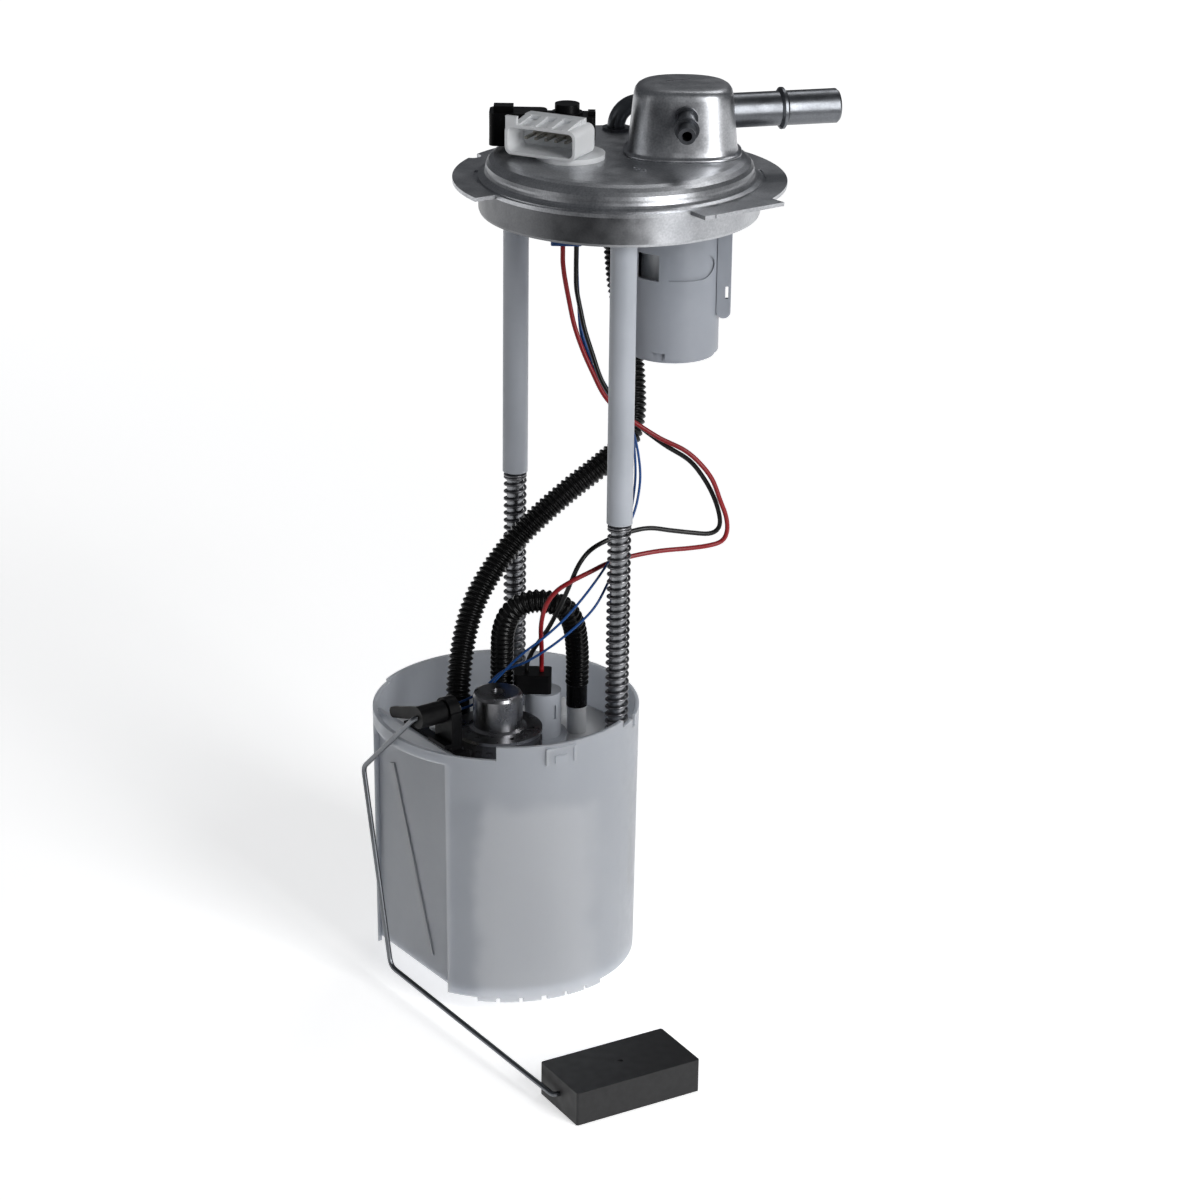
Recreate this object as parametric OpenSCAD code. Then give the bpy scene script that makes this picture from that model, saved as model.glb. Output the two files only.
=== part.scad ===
/* In-tank fuel pump module. Millimetres, Z up, origin on the tank seat plane at the ring centre. */

/* [Part] */
// Piece to draw: "all" or the name of one piece

/* [Flange] */
// Outer radius of the mounting ring
ring_r = 76.25; // [70:0.25:85]
// Thickness of the mounting ring plate
ring_t = 1.8; // [1:0.1:3]
// Outer radius of the skirt that drops into the tank opening
skirt_r = 64.4; // [60:0.1:70]
// Depth of the skirt under the seat plane
skirt_h = 13.5; // [8:0.5:25]
// Height of the flat cap top over the seat plane
cap_z = 12.5; // [9:0.5:20]
// Thickness of the drawn sheet steel
sheet = 1.2; // [0.8:0.1:2]

/* [Ports] */
// Outer radius of the large vapour tube
vapour_r = 7.94; // [6:0.01:10]
// Length of the large vapour tube from the dome centre
vapour_len = 73.5; // [60:0.5:90]
// Outer radius of the bent fuel tube
fuel_r = 3.97; // [3:0.01:6]
// Outer radius of the small nipple
nipple_r = 3.9; // [3:0.1:6]

/* [Vent valve] */
// Outer radius of the vent valve canister
valve_r = 21.5; // [18:0.5:24]
// Depth of the canister's lower rim
valve_z = 81; // [70:1:95]

/* [Guides] */
// Distance of each guide rod from the X axis
rod_y = 42.6; // [38:0.1:48]
// Radius of the steel guide rods
rod_r = 4; // [3:0.1:5]
// Outer radius of the white sleeves over the rods
sleeve_r = 6; // [5.5:0.1:7]
// Depth of the lower end of the sleeves
sleeve_z = 147.3; // [120:0.1:160]
// Mean radius of the guide spring coils
spring_r = 4.9; // [4.8:0.1:5.3]
// Number of turns in each guide spring
spring_turns = 31; // [20:1:36]

/* [Reservoir] */
// Outer radius of the reservoir at its rim
res_r = 62.9; // [58:0.1:66]
// Wall thickness of the reservoir
wall = 2; // [1.5:0.1:3]
// Depth of the reservoir rim under the seat plane
rim_z = 239.6; // [230:0.1:260]
// Depth of the reservoir underside
base_z = 368.8; // [350:0.1:385]

/* [Pump and regulator] */
// Outer radius of the pump can
can_r = 19; // [16:0.5:21]
// Wall thickness of the pump can
can_wall = 1.2; // [0.8:0.1:2]
// Length of the pump can
can_h = 70; // [66:0.5:71]
// Radius of the pump shaft
shaft_r = 2; // [1.5:0.1:3]
// Radius of the pressure regulator cap
reg_r = 11.6; // [10:0.2:14]
// Radius of the pressure regulator flange
reg_flange_r = 20.8; // [19:0.2:22]
// Outer radius of the long convoluted hose
hose_r = 5.9; // [5:0.1:6.5]
// Outer radius of the short looped hose
loop_r = 5.6; // [5:0.1:6]
// Radius of the insulation of the pump wires
pump_wire_r = 1.1; // [0.8:0.1:1.4]
// Radius of the insulation of the sender wires
sender_wire_r = 0.6; // [0.5:0.1:0.8]

/* [Level sender] */
// Radius of the float wire
wire_r = 1.2; // [0.9:0.05:1.6]
// Length of the float block
float_len = 63.5; // [50:0.5:80]
// Width of the float block
float_w = 33; // [25:0.5:45]
// Thickness of the float block
float_t = 16; // [12:0.5:25]

/* [Hidden] */
view = 36;
rod_x = -28;
res_x = -61.6;
cap_r = skirt_r + 0.2;
low_rim = rim_z + 3.6;
post_z = cap_z - 3.9;
seat_step = 0.3;
pocket_x = res_x - res_r + 11.5;
sender_x = pocket_x + wall;
dome = [27, -11];
plug_x = -48.5;
tube_a = -21;
can_x = -50;
can_y = -1;
reg_x = -79;
reg_y = -19;
pivot = [-22, -228.6];
arm_x = res_x - res_r - 2.5;
low_end = [-135.8, -369.8];
bush_z = 256;
clip_z = 272;
floor_z = 363.6;
can_low = floor_z - 25.6;
can_top = can_low - can_h;
plate_z = 265.5;
inner_r = cap_r - 7;
boss_r = 10.2;
nipple_at = [1.2, -17.5, 20.8];
e = 0.01;

// Points of a smooth curve through the listed points, k steps for each span
function spline(p, k) = [for (i = [0 : len(p) - 2]) for (j = [0 : k - 1])
    let (t = j / k, a = p[max(i - 1, 0)], b = p[i], c = p[i + 1], d = p[min(i + 2, len(p) - 1)])
    0.5 * (2 * b + (c - a) * t + (2 * a - 5 * b + 4 * c - d) * t * t + (3 * b - a - 3 * c + d) * t * t * t),
    p[len(p) - 1]];
function unit(v) = v / norm(v);
function side(t) = unit(cross(t, [0.31, 0.87, 0.12]));
function tangent(q, i) = unit(q[min(i + 1, len(q) - 1)] - q[max(i - 1, 0)]);
function carry(q, i, s) = i >= len(q) ? [] :
    let (t = tangent(q, i), u = unit(s - t * (s * t))) concat([u], carry(q, i + 1, u));

// Round tube of radius r with n sides along the points q
module sweep(q, r, n) {
    m = len(q);
    frames = carry(q, 0, side(tangent(q, 0)));
    pts = [for (i = [0 : m - 1]) let (t = tangent(q, i), u = frames[i], v = cross(t, u))
        for (j = [0 : n - 1]) q[i] + r * (cos(360 * j / n) * u + sin(360 * j / n) * v)];
    walls = [for (i = [0 : m - 2]) for (j = [0 : n - 1])
        let (a = i * n + j, b = i * n + (j + 1) % n) [a, a + n, b + n, b]];
    polyhedron(points = pts, faces = concat([[for (j = [0 : n - 1]) j]], walls,
        [[for (j = [n - 1 : -1 : 0]) (m - 1) * n + j]]), convexity = 10);
}

// Flat ring between two radii
module ring(r1, r2, h, n = 96) {
    difference() {
        cylinder(h = h, r = r1, $fn = n);
        translate([0, 0, -1]) cylinder(h = h + 2, r = r2, $fn = n);
    }
}

// Pie slice between two angles
module wedge(a1, a2, r, h) {
    linear_extrude(h) polygon(concat([[0, 0]], [for (i = [0 : 8]) let (a = a1 + (a2 - a1) * i / 8)
        r * [cos(a), sin(a)]]));
}

module mounting_ring() {
    difference() {
        union() {
            difference() {
                cylinder(h = ring_t, r = ring_r, $fn = 128);
                translate([0, 0, -1]) wedge(-183, -92, 110, 4);
            }
            cylinder(h = ring_t, r = cap_r + 1, $fn = 128);
            linear_extrude(ring_t) polygon([[-8.4, -55], [-8.4, -75.7], [35.4, -75.9], [34.8, -68.8], [40, -50]]);
        }
        translate([0, 0, -1]) cylinder(h = 4, r = inner_r, $fn = 96);
        translate([0, 0, -1]) cylinder(h = 1 + seat_step, r = skirt_r + 0.1, $fn = 128);
        for (a = [-32, 148]) rotate([0, 0, a]) translate([0, 0, ring_t - 0.7]) difference() {
            wedge(-10, 10, cap_r + 2, 3);
            translate([0, 0, -1]) cylinder(h = 5, r = cap_r + 0.4, $fn = 96);
        }
        for (a = [62, 118]) rotate([0, 0, a]) translate([ring_r, 0, -1]) cylinder(h = 4, r = 4, $fn = 24);
    }
}

module flange_cap() {
    difference() {
        rotate_extrude($fn = 128) polygon([[0, cap_z], [cap_r - 13, cap_z], [cap_r - 10, cap_z - 0.3],
            [cap_r - 7.2, cap_z - 1.1], [cap_r - 5, cap_z - 2.5], [cap_r - 3.8, cap_z - 4.2],
            [cap_r - 3.4, cap_z - 5.8], [cap_r - 3.3, ring_t + 3.8], [cap_r - 2.9, ring_t + 2.6],
            [cap_r - 2, ring_t + 1.6], [cap_r - 0.6, ring_t + 1], [cap_r, ring_t + 0.8], [cap_r, ring_t],
            [0, ring_t]]);
        difference() {
            rotate_extrude($fn = 128) polygon([[0, ring_t - 1], [inner_r, ring_t - 1], [inner_r, cap_z - 3.9],
                [inner_r - 2, cap_z - 2.5], [inner_r - 5, cap_z - 1.5], [inner_r - 8, cap_z - sheet],
                [0, cap_z - sheet]]);
            for (s = [-1, 1]) translate([rod_x, s * rod_y, post_z]) cylinder(h = 6, r = sleeve_r + 0.2, $fn = 48);
        }
        translate([dome[0], dome[1], cap_z - 4]) cylinder(h = 8, r = 14, $fn = 48);
        translate([-23, 6.5, cap_z - 4]) cylinder(h = 8, r = boss_r + 0.05, $fn = 64);
        translate([25, 38, cap_z - 4]) cylinder(h = 8, r = fuel_r + 0.03, $fn = 40);
        rotate([0, 0, -view]) translate([-24, 16, cap_z - 4]) cylinder(h = 8, r = 4.2, $fn = 32);
    }
    rotate([0, 0, -view]) translate([9, -28, cap_z]) rotate([0, 0, -52]) translate([-4, -0.45, -0.2])
        cube([8, 0.9, 0.6]);
}

module flange_skirt() {
    rotate_extrude($fn = 128) polygon([[skirt_r, 0], [skirt_r, -skirt_h + 1.2], [skirt_r - 0.5, -skirt_h],
        [skirt_r - sheet - 0.8, -skirt_h], [skirt_r - sheet, -skirt_h + 1.5], [skirt_r - sheet, -1.4],
        [inner_r, -1.4], [inner_r, 0]]);
}

// Footprint of the stamped dome: round with one flat towards the nipple
module dome_shape(r, flat) {
    intersection() {
        circle(r = r, $fn = 44);
        rotate(-view) translate([-40, -flat]) square([80, 80]);
    }
}

module dome_stack(d) {
    s = [[0, 25, 21], [25, 22.6, 19.2], [29.5, 20.6, 17.4], [31.5, 17, 14.2]];
    for (i = [0 : len(s) - 2]) hull() {
        translate([0, 0, s[i][0]]) linear_extrude(e) dome_shape(s[i][1] - d, s[i][2] - d);
        translate([0, 0, s[i + 1][0] - e - (i == len(s) - 2 ? d : 0)]) linear_extrude(e)
            dome_shape(s[i + 1][1] - d, s[i + 1][2] - d);
    }
}

module vapour_dome() {
    translate([dome[0], dome[1], cap_z]) difference() {
        union() {
            dome_stack(0);
            linear_extrude(1.2) dome_shape(27, 23);
        }
        translate([0, 0, -0.2]) dome_stack(1.3);
        translate([0, 0, 17.5]) rotate([0, 90, tube_a]) cylinder(h = 40, r = vapour_r, $fn = 48);
        rotate([0, 0, -view]) translate(nipple_at) rotate([97, 0, 0]) translate([0, 0, -2])
            cylinder(h = 12, r = nipple_r + 0.02, $fn = 32);
    }
}

module vapour_tube() {
    translate([dome[0], dome[1], 30]) rotate([0, 90, tube_a]) difference() {
        union() {
            translate([0, 0, 21]) cylinder(h = vapour_len - 22, r = vapour_r, $fn = 48);
            translate([0, 0, vapour_len - 1]) cylinder(h = 1, r1 = vapour_r, r2 = vapour_r - 0.9, $fn = 48);
            translate([0, 0, 44.8]) cylinder(h = 1.2, r1 = vapour_r, r2 = 9.6, $fn = 48);
            translate([0, 0, 46]) cylinder(h = 1.2, r = 9.6, $fn = 48);
            translate([0, 0, 47.2]) cylinder(h = 1.2, r1 = 9.6, r2 = vapour_r, $fn = 48);
        }
        translate([0, 0, 20]) cylinder(h = vapour_len, r = vapour_r - 1, $fn = 48);
    }
}

module vent_nipple() {
    translate([dome[0], dome[1], cap_z]) rotate([0, 0, -view]) translate(nipple_at) rotate([97, 0, 0])
        difference() {
            union() {
                cylinder(h = 27, r = nipple_r, $fn = 32);
                translate([0, 0, 3.2]) cylinder(h = 1.6, r = 5.2, $fn = 32);
                translate([0, 0, 15.8]) cylinder(h = 2, r1 = nipple_r, r2 = 5.6, $fn = 32);
                translate([0, 0, 17.8]) cylinder(h = 1.4, r = 5.6, $fn = 32);
            }
            translate([0, 0, -1]) cylinder(h = 30, r = 2.3, $fn = 32);
        }
}

module fuel_outlet_tube() {
    difference() {
        union() {
            translate([25, 38, -18]) cylinder(h = 32.4, r = fuel_r, $fn = 40);
            translate([25, 38, 14]) rotate([90, 0, tube_a + 180]) translate([-10.5, 0, 0])
                rotate_extrude(angle = 90, $fn = 96) translate([10.5, 0]) circle(r = fuel_r + 0.2, $fn = 40);
            translate([25, 38, 24.5]) rotate([0, 90, tube_a]) translate([0, 0, 10.1])
                cylinder(h = 35.8, r = fuel_r, $fn = 40);
            translate([25, 38, 24.5]) rotate([0, 90, tube_a]) translate([0, 0, 27]) cylinder(h = 1.6, r = 5.4,
                $fn = 40);
            translate([25, 38, cap_z]) cylinder(h = 1.2, r = 6.4, $fn = 40);
        }
        translate([25, 38, 24.5]) rotate([0, 90, tube_a]) translate([0, 0, 30]) cylinder(h = 20, r = 2.9,
            $fn = 32);
        translate([25, 38, -19]) cylinder(h = 23, r = 2.9, $fn = 32);
    }
}

module rounded(w, h, r) {
    offset(r = r, $fn = 24) offset(delta = -r) square([w, h], center = true);
}

module connector_shell() {
    translate([-23, 6.5, cap_z]) cylinder(h = 2.4, r = 15.7, $fn = 64);
    translate([-23, 6.5, cap_z - 12]) cylinder(h = 12.2, r = boss_r, $fn = 64);
    translate([-32.2, 9.8, cap_z + 9.2]) rotate([0, 0, -61]) difference() {
        union() {
            translate([0, -10, 0]) rotate([-90, 0, 0]) linear_extrude(20) rounded(35.2, 13.8, 3.4);
            translate([-10, -5, -7.4]) cube([20, 14, 3]);
            translate([-14, 3, 6.6]) cube([28, 6, 2.6]);
            for (x = [-12, -4, 4, 12]) translate([x - 1.6, 0, 0]) rotate([90, 0, 90]) linear_extrude(3.2)
                polygon([[-9, 6.6], [-9, 7.4], [4, 9.2], [4, 6.6]]);
            translate([-17.4, -9.8, 3.6]) cube([5.6, 1.8, 7]);
        }
        translate([0, -11, 0]) rotate([-90, 0, 0]) linear_extrude(17) rounded(32.4, 11, 2.4);
    }
}

module connector_pins() {
    translate([-32.2, 9.8, cap_z + 9.2]) rotate([0, 0, -61]) {
        for (x = [-10 : 5 : 10]) translate([x - 0.7, -4, -0.6]) cube([1.4, 10, 1.2]);
        translate([-11, 5.1, -1]) cube([22, 0.9, 2]);
    }
}

module pressure_sensor() {
    rotate([0, 0, -view]) translate([-24, 16, 0]) {
        translate([0, 0, 5]) cylinder(h = 9, r = 4.1, $fn = 32);
        translate([0, 0, cap_z + 1.4]) cylinder(h = 3, r = 8, $fn = 48);
        translate([-13.5, -6.5, cap_z + 3.2]) linear_extrude(10.8) offset(r = 1.5, $fn = 16)
            offset(delta = -1.5) square([26, 13]);
        translate([-0.5, 0, cap_z + 13]) cylinder(h = 6, r = 5.7, $fn = 40);
        translate([-0.5, 0, cap_z + 13]) cylinder(h = 2.2, r = 7.2, $fn = 40);
        difference() {
            translate([-36, -8, cap_z + 0.4]) linear_extrude(15) offset(r = 3, $fn = 24) offset(delta = -3)
                square([26, 15]);
            translate([-37, -5.6, cap_z + 3]) cube([16, 10.2, 9.8]);
        }
        translate([-34, -4, cap_z + 14.8]) cube([9, 7, 3.2]);
        for (x = [-13, 9]) translate([x, -2.5, cap_z + 13.3]) cube([3.4, 5, 2.4]);
    }
}

module sensor_seal() {
    rotate([0, 0, -view]) translate([-24, 16, cap_z]) ring(6.4, 4.2, 1.4, 40);
}

module inner_plug() {
    translate([-24.2, 7.4, -27.6]) rotate([0, 0, -view]) difference() {
        translate([-7, -5.5, 0]) linear_extrude(28.1) offset(r = 1.2, $fn = 16) offset(delta = -1.2)
            square([14, 11]);
        for (x = [-5, 5]) translate([x - 0.4, -6, 6]) cube([0.8, 1.2, 23]);
    }
}

module vent_valve_body() {
    translate([25, -9, 0]) difference() {
        union() {
            translate([0, 0, -valve_z]) cylinder(h = valve_z + 0.8, r = valve_r, $fn = 72);
            translate([0, 0, -4]) cylinder(h = 4 + cap_z - sheet, r = 12, $fn = 48);
        }
        translate([0, 0, -valve_z - 1]) cylinder(h = valve_z - 5, r = valve_r - 1.5, $fn = 72);
        translate([0, 0, -20]) cylinder(h = 40, r = 5, $fn = 32);
        rotate([0, 0, -view]) translate([-16.4, -24, -44]) cube([9.4, 14, 12.4]);
        difference() {
            rotate([0, 0, -view]) translate([7.4, -8, -43.6]) rotate([90, 0, 0]) linear_extrude(16) hull() {
                translate([-10, 0]) square([4, 12.2]);
                translate([5, 6.1]) circle(r = 6.1, $fn = 24);
            }
            translate([0, 0, -60]) cylinder(h = 40, r = valve_r - 0.8, $fn = 72);
        }
        rotate([0, 0, -view]) translate([-9, -24, -valve_z - 1]) cube([5.4, 8, 4]);
    }
}

module vent_valve_base() {
    translate([25, -9, 0]) {
        difference() {
            translate([0, 0, -valve_z - 2]) cylinder(h = 5, r = valve_r - 1.6, $fn = 72);
            translate([0, 0, -valve_z]) cylinder(h = 5, r = valve_r - 3.1, $fn = 72);
            for (a = [0 : 60 : 300]) rotate([0, 0, a]) translate([10, 0, -valve_z - 3]) cylinder(h = 4, r = 2, $fn = 20);
        }
        translate([0, 0, -valve_z - 0.5]) cylinder(h = valve_z - 22, r = 2, $fn = 32);
    }
}

module vent_valve_float() {
    translate([25, -9, 0]) difference() {
        union() {
            translate([0, 0, -valve_z + 18]) cylinder(h = 34, r = valve_r - 6.5, $fn = 56);
            translate([0, 0, -valve_z + 52]) cylinder(h = 8, r1 = valve_r - 6.5, r2 = 6, $fn = 56);
        }
        translate([0, 0, -valve_z + 17]) cylinder(h = 50, r = 2.08, $fn = 32);
        translate([0, 0, -valve_z + 17]) cylinder(h = 9, r = 9, $fn = 40);
    }
}

// Round wire coil between two heights
module coil(r, w, z0, z1, turns, per, sides) {
    q = [for (i = [0 : turns * per]) let (a = 360 * i / per)
        [r * cos(a), r * sin(a), z0 + (z1 - z0) * i / (turns * per)]];
    sweep(q, w, sides);
}

module vent_valve_spring() {
    translate([25, -9, 0]) coil(6, 0.5, -valve_z + 0.6, -valve_z + 25.4, 6, 10, 4);
}

module vent_bracket() {
    translate([25, -9, 0]) rotate([0, 0, -view]) difference() {
        union() {
            translate([valve_r - 1.6, -9.2, -61]) cube([6.6, 2.6, 59.6]);
            translate([valve_r + 1.7, -6.6, -61]) rotate([90, 0, 0]) cylinder(h = 2.6, r = 3.3, $fn = 32);
            translate([valve_r + 0.1, -9.2, -58]) cube([2.4, 12, 56.6]);
            translate([valve_r + 0.1, -9.2, -3]) cube([13, 14, 1.6]);
        }
        translate([0, 0, -70]) cylinder(h = 80, r = valve_r + 0.05, $fn = 72);
        translate([valve_r + 2.4, -10, -55]) cube([1.4, 5, 6]);
    }
}

module guide_rod(s) {
    translate([rod_x, s * rod_y, -277]) {
        cylinder(h = 277 + post_z, r = rod_r, $fn = 40);
        translate([0, 0, 275 + post_z]) cylinder(h = 2, r = sleeve_r, $fn = 40);
    }
}

module guide_rod_left() {
    guide_rod(1);
}

module guide_rod_right() {
    guide_rod(-1);
}

module guide_sleeve(s) {
    translate([rod_x, s * rod_y, -sleeve_z]) ring(sleeve_r, rod_r + 0.05, sleeve_z + post_z - 2, 48);
}

module guide_sleeve_left() {
    guide_sleeve(1);
}

module guide_sleeve_right() {
    guide_sleeve(-1);
}

module rod_clip(s) {
    translate([rod_x, s * rod_y, -clip_z - 2.4]) difference() {
        cylinder(h = 2, r = 6.4, $fn = 40);
        translate([0, 0, -1]) cylinder(h = 4, r = rod_r, $fn = 40);
        translate([-1, rod_r - 1, -1]) cube([2, 5, 4]);
    }
}

module rod_clip_left() {
    rod_clip(1);
}

module rod_clip_right() {
    rod_clip(-1);
}

module guide_spring(s) {
    translate([rod_x, s * rod_y, 0]) coil(spring_r, 0.65, -bush_z + 0.7, -sleeve_z - 0.7, spring_turns, 9, 4);
}

module guide_spring_left() {
    guide_spring(1);
}

module guide_spring_right() {
    guide_spring(-1);
}

// A cord leaves its first point and reaches its last one straight, with a smooth curve between
function cord(p, k) = concat([p[0]], spline([for (i = [1 : len(p) - 2]) p[i]], k), [p[len(p) - 1]]);

hose_path = [[25, 38, -26], [25, 38, -36], [25.5, 37, -48], [26, 35, -62], [27, 31, -77], [27.5, 27, -91],
    [26, 22, -108], [22.5, 17, -122], [15.5, 13.5, -133], [2, 14.5, -142], [-13.5, 17.5, -152],
    [-28.5, 20.5, -163], [-42, 23.5, -175], [-54, 24.5, -188], [-63.5, 23.5, -200], [-70.5, 21, -213],
    [-76, 17, -226], [-80, 13, -238], [-81, 11, -246], [-81, 11, -249.9]];
loop_path = [[-58, 9, -249.9], [-58, 9, -242], [-58, 9, -232], [-58.5, 8, -221], [-59, 6.5, -211],
    [-57.5, 3.5, -202], [-53.5, 0, -196.5], [-47.5, -4, -194.5], [-41, -8, -195.5], [-35, -10, -199.5],
    [-30.5, -10, -207], [-27.5, -8.5, -216], [-25.5, -7, -228], [-25, -6, -242], [-25, -6, -251.9]];
red_path = [[-26, 7.5, -27.6], [-26, 7.5, -36], [-25.3, 7, -43], [-23.5, 6, -54], [-22, 3.5, -66],
    [-20, -0.5, -77], [-17.5, -5, -87], [-15, -11, -97], [-10.5, -17, -104.5], [-4, -22, -110],
    [5, -28, -117], [14, -35, -122.5], [20, -39.5, -129], [25, -42.5, -137], [28, -45, -147],
    [30.5, -46.5, -155], [31, -47, -162], [29, -46, -167], [23, -44, -168.7], [14, -40, -169.5],
    [1, -35, -169.7], [-12.5, -31, -170.8], [-24, -28.5, -172.6], [-33, -27, -175.5], [-42, -24, -179.5],
    [-48, -21, -184], [-52, -18.5, -191], [-52.5, -15.5, -202], [-49, -11, -216], [-45.5, -6, -226],
    [-45.5, -6, -229.9]];
black_path = [[-18.5, 7.5, -27.6], [-18.5, 7.5, -36], [-18.5, 7.5, -42], [-18.5, 7, -50], [-17.5, 5, -60],
    [-17, 2, -69], [-15, -1.5, -80], [-13.5, -6, -90.5], [-11, -10.5, -98], [-6.5, -15, -105.5],
    [0, -19.5, -113], [9, -26.5, -121.5], [18.5, -33, -129], [24.5, -37.5, -138.5], [28.5, -40.5, -148.5],
    [30.5, -42, -158], [29.5, -41.5, -163], [25.5, -40, -164.6], [19, -37, -163.8], [8, -33, -161.5],
    [-1, -30, -159.5], [-10, -27.5, -160], [-22, -25, -162.7], [-31, -24.2, -166], [-37, -24, -171.5],
    [-40, -22, -180], [-42, -19, -189], [-45, -11, -206], [-49, -4, -219], [-51.5, -2.5, -226],
    [-51.5, -2.5, -229.9]];
blue_path_1 = [[-16.2, 10.5, -27.6], [-16.2, 10.5, -36], [-16, 10.3, -43], [-15.8, 9.5, -55], [-16.6, 6, -71],
    [-14.7, 1, -83.5], [-10.7, -4.6, -96], [-6, -11, -106], [-0.5, -14.5, -117], [2.3, -16.5, -135],
    [0.5, -17.5, -149], [-6, -20.5, -159], [-22, -29.6, -168.5], [-35.5, -31.5, -181], [-45.5, -26.5, -195],
    [-54, -20, -206], [-62.5, -12.5, -216], [-71, -6, -228], [-78.5, -3, -238], [-89, -1, -241],
    [-98, 3.5, -242.5], [-104, 5.5, -244], [-104, 5.5, -246.3]];
blue_path_2 = [[-14.7, 11.8, -27.6], [-14.7, 11.8, -36], [-14.7, 11.8, -43], [-14.5, 11, -55], [-14.2, 8.5, -71],
    [-12, 3.5, -83.5], [-8, -2.5, -96], [-3, -8, -107], [1.5, -10.5, -118], [3, -12, -137],
    [-0.5, -14.5, -153], [-12, -23, -170], [-27, -33, -180], [-38, -35.5, -191], [-50, -28, -205],
    [-60, -17, -217], [-67, -4, -226], [-76, 1, -236], [-88, 3.5, -240], [-97, 8, -241.5],
    [-104, 9.5, -243.6], [-104, 9.5, -246.3]];

module fuel_hose() {
    sweep(cord(hose_path, 2), hose_r, 12);
}

module pump_hose() {
    sweep(cord(loop_path, 2), loop_r, 12);
}

module wire_red() {
    sweep(cord(red_path, 2), pump_wire_r, 8);
}

module wire_black() {
    sweep(cord(black_path, 2), pump_wire_r, 8);
}

module wire_blue_1() {
    sweep(cord(blue_path_1, 2), sender_wire_r, 8);
}

module wire_blue_2() {
    sweep(cord(blue_path_2, 2), sender_wire_r, 8);
}

module hose_stub() {
    translate([25, 38, -26]) difference() {
        union() {
            cylinder(h = 13, r = 5.2, $fn = 40);
            translate([0, 0, 13]) cylinder(h = 2.4, r = 7.4, $fn = 6);
        }
        translate([0, 0, 8]) cylinder(h = 12, r = fuel_r + 0.03, $fn = 40);
        translate([0, 0, 3]) cylinder(h = 12, r = 2.6, $fn = 32);
    }
}

// Bucket outline with its draft, grown or shrunk by d
module bucket_solid(d, z0, z1) {
    translate([res_x, 0, -z0]) cylinder(h = z0 - z1, r1 = res_r - 1.1 + d, r2 = res_r + d, $fn = 128);
}

module guide_post(s) {
    translate([rod_x, s * rod_y, -334]) cylinder(h = 334 - bush_z, r = 9.4, $fn = 48);
}

module guide_hole(s) {
    translate([rod_x, s * rod_y, 0]) {
        translate([0, 0, -bush_z - 80]) cylinder(h = 120, r = rod_r + 0.07, $fn = 40);
        translate([0, 0, -332]) cylinder(h = 332 - clip_z, r = 7.2, $fn = 40);
        translate([0, 0, -bush_z + 0.2]) cylinder(h = bush_z - rim_z + 8, r = spring_r + 1.2, $fn = 40);
    }
}

module reservoir_bucket() {
    difference() {
        union() {
            difference() {
                bucket_solid(0, base_z, rim_z);
                bucket_solid(-wall, floor_z, rim_z - 1);
                translate([res_x, 0, -base_z - 1]) cylinder(h = 3.8, r = res_r - 1.1 - wall, $fn = 96);
                translate([pocket_x - 44, -31, -400]) cube([44, 62, 400 - low_rim - 7.8]);
            }
            translate([res_x, 0, 0]) intersection() {
                translate([pocket_x - res_x, -34, -floor_z - 2.4]) cube([wall, 68, floor_z + 2.4 - low_rim - 3.8]);
                translate([0, 0, -400]) cylinder(h = 300, r = res_r - 1.1, $fn = 96);
            }
            for (s = [-1, 1]) translate([pocket_x, s * 32 - 1, -floor_z - 2.4]) intersection() {
                translate([-14, 0, 0]) cube([14 + wall, 2, floor_z + 2.4 - low_rim - 7.8]);
                translate([res_x - pocket_x, -s * 32 + 1, -10]) cylinder(h = 200, r = res_r - 1.1, $fn = 96);
            }
            intersection() {
                union() {
                    guide_post(1);
                    guide_post(-1);
                    for (s = [-1, 1]) translate([rod_x - 1.2, s * 52 - 8, -334]) cube([2.4, 16, 74]);
                }
                bucket_solid(-1, base_z, rim_z);
            }
            for (a = [-132, -122, -112, -101, -91, -81]) translate([res_x, 0, -base_z - 2.2]) rotate([0, 0, a])
                intersection() {
                    ring(res_r - 1.4, res_r - 0.8 - wall, 3, 96);
                    translate([0, 0, 0]) wedge(-4.2, 4.2, 80, 3);
                }
            translate([res_x, 0, -low_rim - 6]) rotate([0, 0, -99]) translate([res_r - 0.5, -9, 0]) {
                cube([1.1, 1.2, 8]);
                translate([0, 4.6, 0]) cube([1.1, 6, 4]);
                translate([0, 14, 0]) cube([1.1, 1.2, 8]);
                translate([0, 1, 6.8]) cube([1.1, 14, 1.2]);
            }
        }
        for (r = [[-64, 232, 3.6], [122, 180, 5], [180, 232, 6.4]]) translate([res_x, 0, -rim_z - r[2]])
            wedge(r[0], r[1], 80, 12);
        translate([pocket_x - 0.5, -29.5, -floor_z - 1]) cube([1.3, 2.6, floor_z - 265]);
        translate([res_x, 0, -low_rim - 5]) rotate([0, 0, -51.7]) translate([58, -2.2, 0]) cube([8, 4.4, 8]);
        guide_hole(1);
        guide_hole(-1);
        translate([-30, 20, -370]) cylinder(h = 10, r = 5, $fn = 32);
    }
}

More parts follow.
